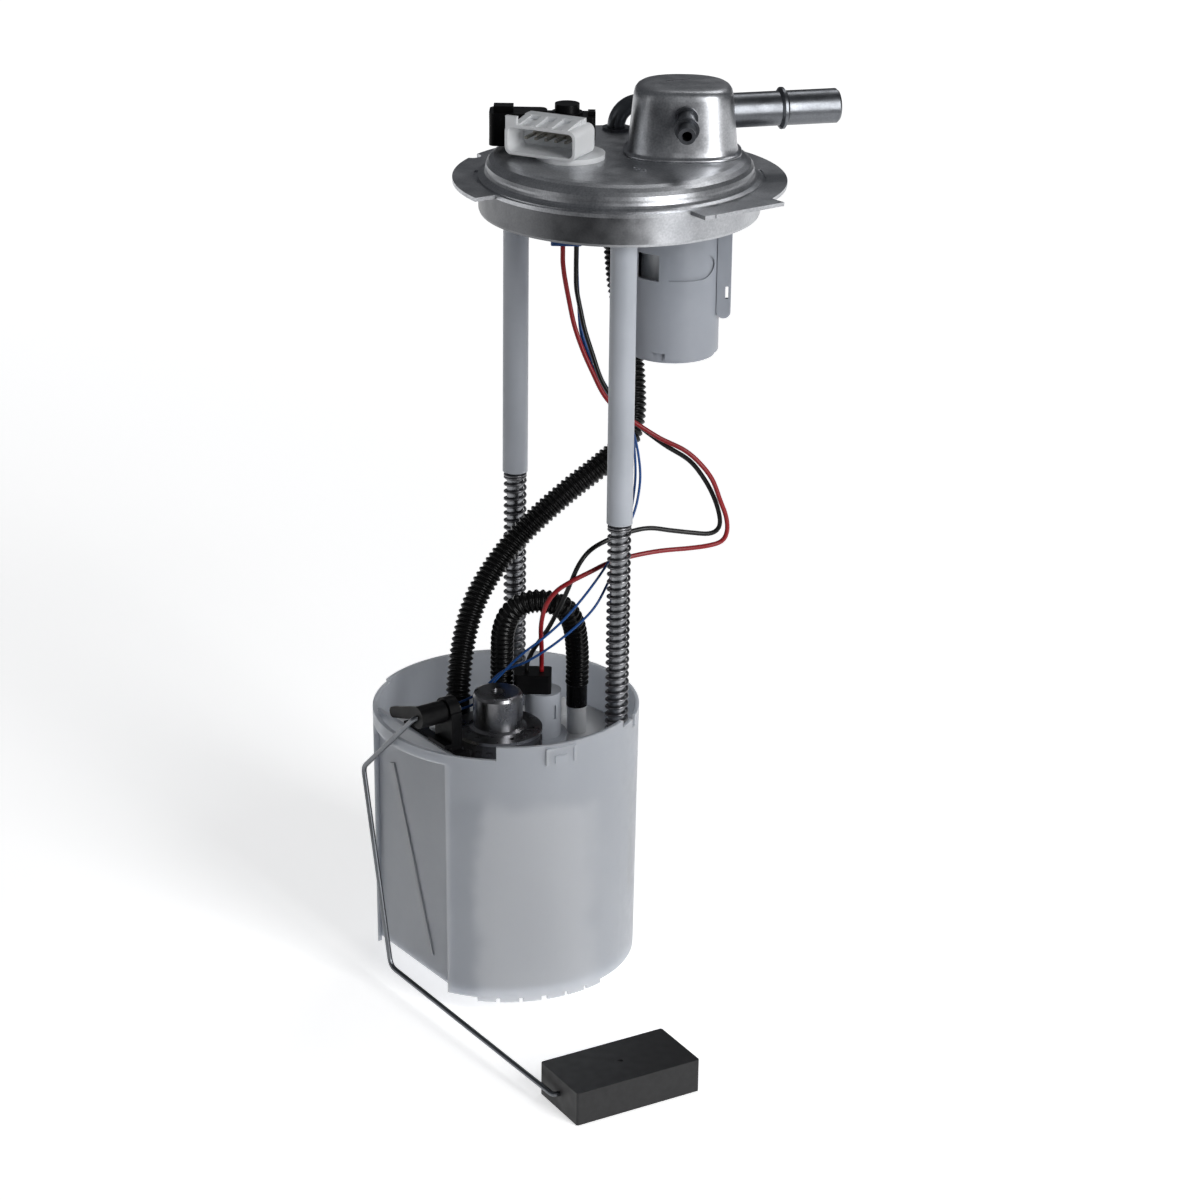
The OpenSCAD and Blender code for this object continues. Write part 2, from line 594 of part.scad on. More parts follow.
module holder_plate() {
    difference() {
        union() {
            translate([res_x, 0, -plate_z - 2.5]) intersection() {
                cylinder(h = 2.5, r = res_r - wall - 0.7, $fn = 96);
                translate([sender_x + 8.9 - res_x, -70, 0]) cube([140, 140, 5]);
            }
            translate([can_x, can_y, -300]) cylinder(h = 300 - plate_z - 1, r = can_r + 2.2, $fn = 72);
            for (p = [[-30, 8, 20], [-20, -30, 60], [-56, 38, 100]]) translate([p[0], p[1], -plate_z])
                rotate([0, 0, p[2]]) cube([12, 1.6, 9]);
        }
        translate([can_x, can_y, -310]) cylinder(h = 60, r = can_r + 0.05, $fn = 72);
        for (s = [-1, 1]) translate([rod_x, s * rod_y, -300]) cylinder(h = 60, r = 9.9, $fn = 48);
        for (s = [-1, 1]) translate([rod_x - 1.8, s * 52 - 9, -300]) cube([3.6, 18, 60]);
        translate([-85, 28, -300]) cylinder(h = 60, r = 8, $fn = 32);
        translate([-25, -6, -300]) cylinder(h = 60, r = 4.02, $fn = 32);
    }
}

module hose_fitting() {
    translate([-81, 11, -plate_z]) {
        cylinder(h = plate_z - 250, r = 4.6, $fn = 32);
        cylinder(h = 5, r = 7.4, $fn = 32);
    }
    translate([-81, 11, -plate_z + 2.8]) rotate([0, 90, -86]) cylinder(h = 15.7, r = 2.4, $fn = 24);
}

module jet_pump() {
    translate([-25, -6, -354]) {
        cylinder(h = 354 - plate_z - 2.5, r = 4, $fn = 32);
        translate([0, 0, 354 - plate_z]) cylinder(h = plate_z - 252, r = 4.6, $fn = 32);
        translate([0, 0, 354 - plate_z - 2.6]) cylinder(h = 2.7, r = 4, $fn = 32);
        translate([0, 0, -8]) cylinder(h = 8.1, r = 6.5, $fn = 32);
    }
}

module regulator_cap() {
    translate([reg_x, reg_y, 0]) difference() {
        rotate_extrude($fn = 64) polygon([[0, -227.4], [reg_r - 1.8, -227.4], [reg_r - 0.6, -227.9],
            [reg_r, -229.2], [reg_r, -243.4], [reg_r + 1.8, -244.3], [reg_r + 1.8, -245], [reg_r - 1, -245],
            [reg_r - 1, -229], [0, -229]]);
        translate([0, 0, -228.3]) cylinder(h = 2, r = 3.2, $fn = 32);
    }
}

module regulator_flange() {
    translate([reg_x, reg_y, -246.6]) difference() {
        cylinder(h = 1.6, r = reg_flange_r, $fn = 72);
        translate([0, 0, -1]) cylinder(h = 4, r = 9, $fn = 48);
        for (a = [20 : 60 : 320]) rotate([0, 0, a]) translate([reg_flange_r - 4.6, 0, -1])
            cylinder(h = 4, r = 1.1, $fn = 16);
    }
}

module regulator_body() {
    translate([reg_x, reg_y, 0]) {
        difference() {
            union() {
                translate([0, 0, -plate_z]) cylinder(h = plate_z - 254, r = 14, $fn = 48);
                translate([0, 0, -254.2]) cylinder(h = 7.6, r = reg_flange_r - 1, $fn = 72);
                for (a = [0 : 15 : 345]) rotate([0, 0, a]) translate([reg_flange_r - 1.8, -1.4, -254.2])
                    cube([1.7, 2.8, 4]);
            }
            translate([0, 0, -250]) cylinder(h = 6, r = 12, $fn = 48);
        }
    }
}

module pump_can() {
    translate([can_x, can_y, -can_low]) ring(can_r, can_r - can_wall, can_h, 72);
}

module pump_top() {
    translate([can_x, can_y, 0]) difference() {
        union() {
            translate([0, 0, -can_top]) cylinder(h = 6, r = can_r, $fn = 72);
            translate([5.5, -5, -can_top + 5.8]) cylinder(h = can_top - 5.8 - 239.5, r = 8.6, $fn = 48);
            translate([-8, 10, -can_top + 5.8]) cylinder(h = can_top - 5.8 - 250, r = 4.6, $fn = 32);
            translate([0, 0, -can_top - 6]) cylinder(h = 6.2, r = 4.6, $fn = 32);
        }
        translate([0, 0, -can_top - 7]) cylinder(h = 10, r = shaft_r + 0.06, $fn = 32);
        translate([5.5, -14.4, -252]) rotate([0, 0, 0]) cube([1.6, 2, 7], center = false);
        translate([4, -7, -243]) cube([3, 4, 5]);
    }
}

module pump_inlet() {
    translate([can_x, can_y, 0]) difference() {
        union() {
            translate([0, 0, -can_low - 9]) cylinder(h = 9, r = can_r, $fn = 72);
            translate([9, 0, -can_low - 15]) cylinder(h = 6.2, r = 5, $fn = 32);
        }
        translate([0, 0, -can_low - 5.4]) cylinder(h = 3.6, r = can_r - 4, $fn = 56);
        translate([0, 0, -can_low - 8]) cylinder(h = 10, r = shaft_r + 0.06, $fn = 32);
        translate([9, 0, -can_low - 16]) cylinder(h = 12, r = 3.4, $fn = 32);
    }
}

module pump_magnets() {
    translate([can_x, can_y, -can_low + 10]) intersection() {
        ring(can_r - can_wall, can_r - can_wall - 3.4, can_h - 18, 72);
        union() {
            wedge(-65, 65, 30, 60);
            wedge(115, 245, 30, 60);
            ring(can_r - can_wall, can_r - can_wall - 0.8, 2, 72);
        }
    }
}

module pump_shaft() {
    translate([can_x, can_y, -can_low - 7]) cylinder(h = can_h + 8, r = shaft_r, $fn = 32);
}

module pump_armature() {
    translate([can_x, can_y, -can_low + 14]) {
        difference() {
            cylinder(h = can_h - 30, r = can_r - can_wall - 4.2, $fn = 56);
            for (a = [0 : 45 : 315]) rotate([0, 0, a]) translate([8.5, -0.8, -1]) cube([12, 1.6, can_h]);
            translate([0, 0, -1]) cylinder(h = can_h, r = shaft_r + 0.02, $fn = 32);
        }
        translate([0, 0, can_h - 30]) ring(8, shaft_r + 0.02, 8, 32);
    }
}

module pump_impeller() {
    translate([can_x, can_y, -can_low - 4.9]) difference() {
        cylinder(h = 2.6, r = can_r - 4.5, $fn = 56);
        translate([0, 0, -1]) cylinder(h = 6, r = shaft_r + 0.02, $fn = 32);
        for (a = [0 : 20 : 340]) rotate([0, 0, a]) translate([can_r - 7, -0.8, -1]) cube([1.8, 1.6, 5]);
    }
}

module pump_plug() {
    translate([plug_x, -3.2, -239.5]) rotate([0, 0, -view]) difference() {
        translate([-8.8, -6, 0]) linear_extrude(9.5) offset(r = 1.5, $fn = 16) offset(delta = -1.5)
            square([17.6, 12]);
        translate([-9.4, -6.6, 3.4]) cube([1.4, 4, 3]);
    }
}

module inlet_strainer() {
    translate([can_x, can_y, 0]) {
        translate([-6, 0, -can_low - 23.6]) linear_extrude(6) offset(r = 7, $fn = 32) offset(delta = -7)
            square([46, 30], center = true);
        translate([9, 0, -can_low - 18]) cylinder(h = 3, r = 6.6, $fn = 32);
    }
}

module sender_housing() {
    difference() {
        union() {
            translate([sender_x, -33.4, -290]) cube([5.6, 45.4, 44]);
            translate([sender_x, pivot[0], pivot[1]]) rotate([0, 90, 0]) cylinder(h = 5.6, r = 6.4, $fn = 40);
            translate([sender_x, -29, -247]) cube([5.6, 14, 19]);
            translate([sender_x - 3.8, -29, -244.6]) cube([5, 14, 2]);
            translate([sender_x + 5.4, 3, -253]) cube([3, 9, 6.7]);
        }
        translate([sender_x - 1, pivot[0], pivot[1]]) rotate([0, 90, 0]) cylinder(h = 8, r = 2.56, $fn = 32);
        translate([sender_x + 5.1, -31, -272]) cube([1, 33, 26]);
    }
}

module sender_card() {
    translate([sender_x + 5.1, -30.8, -271.8]) cube([0.8, 32.6, 24]);
}

module sender_wiper() {
    translate([sender_x + 6.1, pivot[0], pivot[1]]) rotate([38, 0, 0]) rotate([0, 90, 0]) difference() {
        union() {
            cylinder(h = 0.6, r = 4.6, $fn = 32);
            translate([0, -2, 0]) cube([29, 4, 0.6]);
            translate([28, -3, 0]) cube([4, 6, 0.6]);
        }
        translate([0, 0, -1]) cylinder(h = 3, r = 2.53, $fn = 32);
    }
}

module blade(x, tip, r1, r2) {
    translate([x, 0, 0]) rotate([90, 0, 90]) linear_extrude(2) hull() {
        translate(pivot) circle(r = r1, $fn = 24);
        translate(pivot + tip) circle(r = r2, $fn = 16);
    }
}

module sender_rotor() {
    difference() {
        union() {
            translate([sender_x - 14.4, pivot[0], pivot[1]]) rotate([0, 90, 0]) cylinder(h = 13.9, r = 5.2, $fn = 40);
            translate([sender_x - 1, pivot[0], pivot[1]]) rotate([0, 90, 0]) cylinder(h = 8.6, r = 2.5, $fn = 32);
            blade(sender_x - 6.6, [33.4, -11.2], 3.4, 2.6);
            blade(sender_x - 6.6, [12.6, -8.6], 4, 1.6);
        }
        translate([sender_x - 15, pivot[0], pivot[1]]) rotate([0, 90, 0]) cylinder(h = 13, r = wire_r + 0.06, $fn = 24);
    }
}

// Rounded corner at b on the way from a to c, with bend length d
function bend(a, b, c, d) = let (u = unit(a - b), v = unit(c - b))
    [for (t = [0 : 0.25 : 1]) b + d * ((1 - t) * (1 - t) * u + t * t * v)];

wire_corners = [[pocket_x, pivot[0], pivot[1]], [arm_x, pivot[0], pivot[1]], [arm_x, 22.5, -269.6],
    [arm_x, 0.1, -365], [arm_x, low_end[0], low_end[1]], [arm_x + 31, low_end[0], low_end[1]]];

module float_wire() {
    w = wire_corners;
    sweep(concat([w[0]], bend(w[0], w[1], w[2], 2.5), bend(w[1], w[2], w[3], 3),
        bend(w[2], w[3], w[4], 4), bend(w[3], w[4], w[5], 2.5), [w[5]]), wire_r, 16);
}

module float_block() {
    difference() {
        translate([arm_x + 1.8, low_end[0], low_end[1]]) rotate([0, 0, -5]) translate([0.9, -float_w / 2, -float_t / 2])
            difference() {
                linear_extrude(float_t) offset(r = 1, $fn = 12) offset(delta = -1) square([float_len, float_w]);
                translate([float_len / 2, float_w / 2, float_t - 0.5]) cylinder(h = 2, r = 1.2, $fn = 20);
            }
        translate([arm_x - 3, low_end[0], low_end[1]]) rotate([0, 90, 0]) cylinder(h = 34.6, r = wire_r + 0.06, $fn = 32);
    }
}

mounting_ring();
flange_cap();
flange_skirt();
vapour_dome();
vapour_tube();
vent_nipple();
fuel_outlet_tube();
connector_shell();
connector_pins();
pressure_sensor();
sensor_seal();
inner_plug();
vent_valve_body();
vent_valve_base();
vent_valve_float();
vent_valve_spring();
vent_bracket();
guide_rod_left();
guide_rod_right();
guide_sleeve_left();
guide_sleeve_right();
rod_clip_left();
rod_clip_right();
guide_spring_left();
guide_spring_right();
fuel_hose();
pump_hose();
wire_red();
wire_black();
wire_blue_1();
wire_blue_2();
hose_stub();
reservoir_bucket();
holder_plate();
hose_fitting();
jet_pump();
regulator_cap();
regulator_flange();
regulator_body();
pump_can();
pump_top();
pump_inlet();
pump_magnets();
pump_shaft();
pump_armature();
pump_impeller();
pump_plug();
inlet_strainer();
sender_housing();
sender_card();
sender_wiper();
sender_rotor();
float_wire();
float_block();
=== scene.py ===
"""Looks of the in-tank fuel pump module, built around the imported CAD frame. Metres, Z up."""

import math

import bpy
from mathutils import Matrix, Vector


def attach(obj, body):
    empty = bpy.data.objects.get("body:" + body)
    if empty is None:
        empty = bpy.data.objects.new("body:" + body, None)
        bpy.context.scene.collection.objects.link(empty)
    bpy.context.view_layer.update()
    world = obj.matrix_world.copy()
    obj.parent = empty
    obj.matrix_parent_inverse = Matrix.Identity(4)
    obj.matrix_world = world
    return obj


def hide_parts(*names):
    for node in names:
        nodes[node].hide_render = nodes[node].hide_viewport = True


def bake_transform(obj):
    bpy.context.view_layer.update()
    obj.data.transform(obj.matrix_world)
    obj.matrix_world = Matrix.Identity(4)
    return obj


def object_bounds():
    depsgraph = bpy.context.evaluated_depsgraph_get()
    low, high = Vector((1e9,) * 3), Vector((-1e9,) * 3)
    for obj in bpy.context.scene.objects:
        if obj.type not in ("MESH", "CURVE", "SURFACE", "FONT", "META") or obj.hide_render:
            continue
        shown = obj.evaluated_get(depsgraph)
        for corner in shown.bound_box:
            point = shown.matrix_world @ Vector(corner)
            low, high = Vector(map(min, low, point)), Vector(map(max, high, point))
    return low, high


MM = 0.001
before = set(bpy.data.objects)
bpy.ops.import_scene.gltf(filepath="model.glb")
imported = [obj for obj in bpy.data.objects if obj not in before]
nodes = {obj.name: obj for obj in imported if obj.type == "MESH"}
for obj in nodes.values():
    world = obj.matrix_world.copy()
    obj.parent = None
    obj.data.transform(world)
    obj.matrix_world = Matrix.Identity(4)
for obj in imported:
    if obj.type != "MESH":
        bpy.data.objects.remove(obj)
cad_low, cad_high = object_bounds()
for imported in list(bpy.data.materials):
    bpy.data.materials.remove(imported)


# camera: fitted to the photograph, 1200 x 1200

CAMERA_AZIMUTH = math.radians(35.928)
CAMERA_DISTANCE = 1.496
CAMERA_HEIGHT = 0.3935
CAMERA_TILT = math.radians(21.835)
CAMERA_PAN = math.radians(-0.243)
CAMERA_ROLL = math.radians(0.792)
CAMERA_LENS = 101.2

# Unit vectors on the floor plan: to the right in the picture, and away from the camera
ACROSS = Vector((math.cos(CAMERA_AZIMUTH), -math.sin(CAMERA_AZIMUTH), 0.0))
AWAY = Vector((math.sin(CAMERA_AZIMUTH), math.cos(CAMERA_AZIMUTH), 0.0))
UP = Vector((0.0, 0.0, 1.0))


def make_camera():
    data = bpy.data.cameras.new("photo_camera")
    data.lens = CAMERA_LENS
    data.sensor_width = 36.0
    data.dof.use_dof = False
    data.clip_start = 0.05
    data.clip_end = 20.0
    ahead = AWAY * math.cos(CAMERA_PAN) + ACROSS * math.sin(CAMERA_PAN)
    forward = ahead * math.cos(CAMERA_TILT) - UP * math.sin(CAMERA_TILT)
    right = ACROSS * math.cos(CAMERA_PAN) - AWAY * math.sin(CAMERA_PAN)
    top = right.cross(forward)
    turned_right = right * math.cos(CAMERA_ROLL) + top * math.sin(CAMERA_ROLL)
    turned_top = top * math.cos(CAMERA_ROLL) - right * math.sin(CAMERA_ROLL)
    place = UP * CAMERA_HEIGHT - AWAY * CAMERA_DISTANCE
    camera = bpy.data.objects.new("photo_camera", data)
    camera.matrix_world = Matrix((
        (turned_right.x, turned_top.x, -forward.x, place.x),
        (turned_right.y, turned_top.y, -forward.y, place.y),
        (turned_right.z, turned_top.z, -forward.z, place.z),
        (0.0, 0.0, 0.0, 1.0),
    ))
    bpy.context.scene.collection.objects.link(camera)
    bpy.context.scene.camera = camera


make_camera()


# small mesh helpers

def add_mesh(name, verts, faces, material=None, smooth=True):
    mesh = bpy.data.meshes.new(name)
    mesh.from_pydata([tuple(v) for v in verts], [], faces)
    mesh.validate()
    mesh.update()
    for polygon in mesh.polygons:
        polygon.use_smooth = smooth
    piece = bpy.data.objects.new(name, mesh)
    bpy.context.scene.collection.objects.link(piece)
    if material:
        mesh.materials.append(material)
    return piece


def line_length(line):
    return sum((line[i + 1] - line[i]).length for i in range(len(line) - 1))


def even_line(line, step):
    """The same line cut into equal steps close to the given one."""
    total = line_length(line)
    count = max(2, round(total / step))
    goal = total / count
    even, run = [line[0]], 0.0
    for i in range(len(line) - 1):
        span = (line[i + 1] - line[i]).length
        while len(even) < count and span > 0 and run + span >= goal * len(even):
            even.append(line[i].lerp(line[i + 1], (goal * len(even) - run) / span))
        run += span
    even.append(line[-1])
    return even


def smooth_line(points, step):
    """Catmull-Rom curve through the points, cut into equal steps."""
    pts = [Vector(p) for p in points]
    parts = 24
    dense = []
    for i in range(len(pts) - 1):
        a, b = pts[max(i - 1, 0)], pts[i]
        c, d = pts[i + 1], pts[min(i + 2, len(pts) - 1)]
        for k in range(parts):
            t = k / parts
            dense.append(0.5 * (2 * b + (c - a) * t + (2 * a - 5 * b + 4 * c - d) * t * t
                                + (3 * b - a - 3 * c + d) * t * t * t))
    dense.append(pts[-1])
    return even_line(dense, step)


def tube(name, line, radius_at, sides, material):
    """Round tube along a line, whose radius is a function of the distance from its start."""
    verts, faces, run = [], [], 0.0
    tangent = (line[1] - line[0]).normalized()
    u = tangent.orthogonal().normalized()
    for i, p in enumerate(line):
        before, after = line[max(i - 1, 0)], line[min(i + 1, len(line) - 1)]
        tangent = (after - before).normalized()
        u = (u - tangent * u.dot(tangent)).normalized()
        v = tangent.cross(u)
        if i:
            run += (p - line[i - 1]).length
        r = radius_at(run)
        for j in range(sides):
            a = 2 * math.pi * j / sides
            verts.append(p + (u * math.cos(a) + v * math.sin(a)) * r)
    for i in range(len(line) - 1):
        for j in range(sides):
            k = (j + 1) % sides
            faces.append((i * sides + j, i * sides + k, (i + 1) * sides + k, (i + 1) * sides + j))
    faces.append(tuple(range(sides))[::-1])
    faces.append(tuple((len(line) - 1) * sides + j for j in range(sides)))
    return add_mesh(name, verts, faces, material)


FLAT_ANGLE = math.radians(0.6)
EDGE_ANGLE = math.radians(32.0)


def soften(name, width):
    """Small rounded edges on a CAD node, as modifiers only."""
    piece = nodes[name]
    flat = piece.modifiers.new("merge_flats", "DECIMATE")
    flat.decimate_type = "DISSOLVE"
    flat.angle_limit = FLAT_ANGLE
    edge = piece.modifiers.new("soft_edges", "BEVEL")
    edge.width = width
    edge.segments = 2
    edge.limit_method = "ANGLE"
    edge.angle_limit = EDGE_ANGLE
    edge.use_clamp_overlap = True
    edge.miter_outer = "MITER_ARC"
    edge.harden_normals = False
    shade = piece.modifiers.new("even_shading", "WEIGHTED_NORMAL")
    shade.keep_sharp = False


# materials

def shader(name):
    material = bpy.data.materials.new(name)
    material.use_nodes = True
    tree = material.node_tree
    return material, tree, tree.nodes["Principled BSDF"]


def node(tree, kind, **values):
    made = tree.nodes.new(kind)
    for key, value in values.items():
        if key in made.inputs:
            made.inputs[key].default_value = value
        else:
            setattr(made, key, value)
    return made


def place(tree, scale=(1.0, 1.0, 1.0)):
    """Row frame coordinates, stretched by scale."""
    where = tree.nodes.new("ShaderNodeTexCoord")
    mapping = tree.nodes.new("ShaderNodeMapping")
    mapping.inputs["Scale"].default_value = scale
    tree.links.new(where.outputs["Object"], mapping.inputs["Vector"])
    return mapping.outputs["Vector"]


def noise(tree, vector, scale, detail=4.0, rough=0.5):
    made = node(tree, "ShaderNodeTexNoise", Scale=scale, Detail=detail, Roughness=rough)
    tree.links.new(vector, made.inputs["Vector"])
    return made.outputs["Fac"]


def ramp(tree, value, stops):
    made = tree.nodes.new("ShaderNodeValToRGB")
    for i, (at, colour) in enumerate(stops):
        stop = made.color_ramp.elements[i] if i < 2 else made.color_ramp.elements.new(at)
        stop.position = at
        stop.color = (*colour, 1.0)
    tree.links.new(value, made.inputs["Fac"])
    return made.outputs["Color"]


def spread(tree, value, low, high):
    """Maps noise around 0.5 to a range."""
    made = node(tree, "ShaderNodeMapRange")
    made.inputs["From Min"].default_value = 0.3
    made.inputs["From Max"].default_value = 0.7
    made.inputs["To Min"].default_value = low
    made.inputs["To Max"].default_value = high
    tree.links.new(value, made.inputs["Value"])
    return made.outputs["Result"]


def calc(tree, kind, a, b):
    """Math node whose inputs are sockets or numbers."""
    made = tree.nodes.new("ShaderNodeMath")
    made.operation = kind
    for i, value in enumerate((a, b)):
        if isinstance(value, (int, float)):
            made.inputs[i].default_value = value
        else:
            tree.links.new(value, made.inputs[i])
    return made.outputs[0]


def along(tree, vector, direction):
    """How far a point lies in a direction."""
    made = node(tree, "ShaderNodeVectorMath", operation="DOT_PRODUCT")
    tree.links.new(vector, made.inputs[0])
    made.inputs[1].default_value = direction
    return made.outputs["Value"]


def soft_step(tree, value, start, end):
    """0 at start, 1 at end, smooth between."""
    made = tree.nodes.new("ShaderNodeMapRange")
    made.interpolation_type = "SMOOTHSTEP"
    made.inputs["From Min"].default_value = start
    made.inputs["From Max"].default_value = end
    tree.links.new(value, made.inputs["Value"])
    return made.outputs["Result"]


def mix_colour(tree, share, a, b):
    made = tree.nodes.new("ShaderNodeMix")
    made.data_type = "RGBA"
    tree.links.new(share, made.inputs["Factor"])
    tree.links.new(a, made.inputs["A"])
    made.inputs["B"].default_value = (*b, 1.0)
    return made.outputs["Result"]


def bump(tree, bsdf, height, strength, distance):
    made = node(tree, "ShaderNodeBump", Strength=strength, Distance=distance)
    tree.links.new(height, made.inputs["Height"])
    tree.links.new(made.outputs["Normal"], bsdf.inputs["Normal"])


# where the painted shade on the skirt's left begins and where it is full, along the picture's across
# direction
PAINTED_SHADE_START, PAINTED_SHADE_FULL = 0.022, -0.016


def metal(name, dark, light, rough, grain, stretch=(1.0, 1.0, 1.0), depth=0.00002, flecks=0.4,
          painted_shade=0.0):
    """Steel with cloudy tone, uneven gloss and fine grain; its last argument paints shade on its left
    in the picture, standing in for a dark reflection there.
    """
    material, tree, bsdf = shader(name)
    bsdf.inputs["Metallic"].default_value = 1.0
    vector = place(tree)
    cloud = noise(tree, vector, 38.0, 6.0, 0.6)
    speckle = calc(tree, "SUBTRACT", noise(tree, vector, 1100.0, 2.0), 0.5)
    fleck = calc(tree, "MULTIPLY", speckle, flecks)
    colour = ramp(tree, calc(tree, "ADD", cloud, fleck), [(0.3, dark), (0.7, light)])
    # painted shade: steel darkened towards its left in the picture, standing in for a dark reflection
    if painted_shade:
        leftward = soft_step(tree, along(tree, vector, ACROSS), PAINTED_SHADE_START, PAINTED_SHADE_FULL)
        share = calc(tree, "MULTIPLY", leftward, painted_shade)
        colour = mix_colour(tree, share, colour, tuple(0.15 * part for part in dark))
    tree.links.new(colour, bsdf.inputs["Base Color"])
    tree.links.new(spread(tree, noise(tree, vector, 140.0, 5.0), rough[0], rough[1]),
                   bsdf.inputs["Roughness"])
    bump(tree, bsdf, noise(tree, place(tree, stretch), grain, 3.0), 0.35, depth)
    return material


def plastic(name, dark, light, rough, grain=700.0, depth=0.00003, scatter=0.0, cloud=26.0, glow=0.0,
            gloss=0.5):
    """Moulded plastic: slightly cloudy colour, a moulded grain and some light inside."""
    material, tree, bsdf = shader(name)
    vector = place(tree)
    tree.links.new(ramp(tree, noise(tree, vector, cloud, 5.0), [(0.3, dark), (0.7, light)]),
                   bsdf.inputs["Base Color"])
    tree.links.new(spread(tree, noise(tree, vector, 210.0, 4.0), rough[0], rough[1]),
                   bsdf.inputs["Roughness"])
    bsdf.inputs["Subsurface Weight"].default_value = scatter
    bsdf.inputs["Subsurface Radius"].default_value = (1.0, 1.0, 1.0)
    bsdf.inputs["Subsurface Scale"].default_value = 0.003
    bsdf.inputs["Transmission Weight"].default_value = glow
    bsdf.inputs["Specular IOR Level"].default_value = gloss
    bump(tree, bsdf, noise(tree, vector, grain, 3.0), 0.3, depth)
    return material


def woven(name, dark, light, pitch):
    """Fine woven cloth from two crossed waves."""
    material, tree, bsdf = shader(name)
    vector = place(tree)
    waves = []
    for axis in ("X", "Y"):
        wave = node(tree, "ShaderNodeTexWave", Scale=0.49976 / pitch, Distortion=0.4)
        wave.bands_direction = axis
        tree.links.new(vector, wave.inputs["Vector"])
        waves.append(wave.outputs["Fac"])
    both = calc(tree, "MULTIPLY", waves[0], waves[1])
    tree.links.new(ramp(tree, both, [(0.0, dark), (1.0, light)]), bsdf.inputs["Base Color"])
    bsdf.inputs["Roughness"].default_value = 0.85
    bump(tree, bsdf, both, 0.5, 0.0001)
    return material


zinc = metal("zinc_steel", (0.40, 0.41, 0.43), (0.60, 0.61, 0.63), (0.32, 0.44), 1100.0, depth=0.00005,
             flecks=0.7)
# the skirt's steel carries painted shade on its left, standing in for a dark reflection
skirt_zinc = metal("skirt_steel", (0.38, 0.39, 0.41), (0.58, 0.59, 0.61), (0.32, 0.44), 1100.0,
                   depth=0.00005, flecks=0.5, painted_shade=0.75)
tube_steel = metal("tube_steel", (0.12, 0.125, 0.135), (0.19, 0.20, 0.215), (0.28, 0.40), 1100.0)
bright_steel = metal("can_steel", (0.20, 0.20, 0.21), (0.31, 0.31, 0.32), (0.24, 0.34), 1500.0)
rod_steel = metal("rod_steel", (0.24, 0.245, 0.26), (0.34, 0.35, 0.365), (0.28, 0.40), 1500.0,
                  (1.0, 1.0, 0.05))
wire_steel = metal("spring_steel", (0.14, 0.14, 0.15), (0.26, 0.26, 0.27), (0.28, 0.38), 1500.0)
brass = metal("contact_brass", (0.34, 0.32, 0.29), (0.48, 0.46, 0.42), (0.30, 0.40), 1500.0)
copper = metal("winding", (0.45, 0.20, 0.09), (0.62, 0.32, 0.15), (0.30, 0.42), 2500.0,
               (1.0, 1.0, 0.1), 0.00008)
ferrite = metal("magnet", (0.10, 0.10, 0.11), (0.16, 0.16, 0.17), (0.50, 0.65), 1500.0)
white = plastic("white_plastic", (0.84, 0.86, 0.88), (0.92, 0.93, 0.94), (0.28, 0.42), scatter=0.5,
                glow=0.15)
sleeve_white = plastic("sleeve_plastic", (0.385, 0.41, 0.45), (0.455, 0.48, 0.525), (0.34, 0.46),
                       scatter=0.25)
valve_grey = plastic("valve_plastic", (0.27, 0.29, 0.325), (0.33, 0.35, 0.39), (0.34, 0.48),
                     scatter=0.3)


RESERVOIR_X = -0.0616


def milky_plastic():
    """Natural plastic that passes light; on its front a paler block is painted light where the pump's
    holder would show through, with a darker band of painted shade at its left.
    """
    material, tree, bsdf = shader("natural_plastic")
    vector = place(tree)
    base = ramp(tree, noise(tree, vector, 9.0, 5.0),
                [(0.3, (0.39, 0.415, 0.46)), (0.7, (0.46, 0.485, 0.53))])
    local = node(tree, "ShaderNodeVectorMath", operation="SUBTRACT")
    tree.links.new(vector, local.inputs[0])
    local.inputs[1].default_value = (RESERVOIR_X, 0.0, 0.0)
    from_axis = local.outputs["Vector"]
    wobble = calc(tree, "MULTIPLY", calc(tree, "SUBTRACT", noise(tree, vector, 30.0, 2.0), 0.5), 0.02)
    side = calc(tree, "ADD", along(tree, from_axis, ACROSS), wobble)
    height = calc(tree, "ADD", along(tree, vector, UP), wobble)
    # masks on the bucket's front for the painted light block and the painted shade band beside it
    front = soft_step(tree, along(tree, from_axis, -AWAY), 0.030, 0.046)
    left = soft_step(tree, side, -0.016, -0.006)
    right = soft_step(tree, side, 0.050, 0.036)
    under = soft_step(tree, height, -0.266, -0.276)
    in_view = calc(tree, "MULTIPLY", under, front)
    painted_light_block = calc(tree, "MULTIPLY", calc(tree, "MULTIPLY", left, right), in_view)
    shade_band_left = soft_step(tree, side, -0.030, -0.020)
    shade_band_right = soft_step(tree, side, -0.008, -0.016)
    edge = calc(tree, "MULTIPLY", calc(tree, "MULTIPLY", shade_band_left, shade_band_right), in_view)
    # painted light: the paler block stands in for the lit holder seen through the wall
    painted_light_colour = mix_colour(tree, calc(tree, "MULTIPLY", painted_light_block, 0.55), base, (0.60, 0.62, 0.66))
    # painted shade: a darker band left of the block
    shaded = mix_colour(tree, calc(tree, "MULTIPLY", edge, 0.35), painted_light_colour, (0.27, 0.29, 0.33))
    tree.links.new(shaded, bsdf.inputs["Base Color"])
    tree.links.new(spread(tree, noise(tree, vector, 210.0, 4.0), 0.30, 0.44), bsdf.inputs["Roughness"])
    bsdf.inputs["Subsurface Weight"].default_value = 1.0
    bsdf.inputs["Subsurface Radius"].default_value = (1.0, 1.0, 1.0)
    bsdf.inputs["Subsurface Scale"].default_value = 0.010
    bsdf.inputs["Transmission Weight"].default_value = 0.15
    bump(tree, bsdf, noise(tree, vector, 500.0, 3.0), 0.3, 0.00004)
    return material


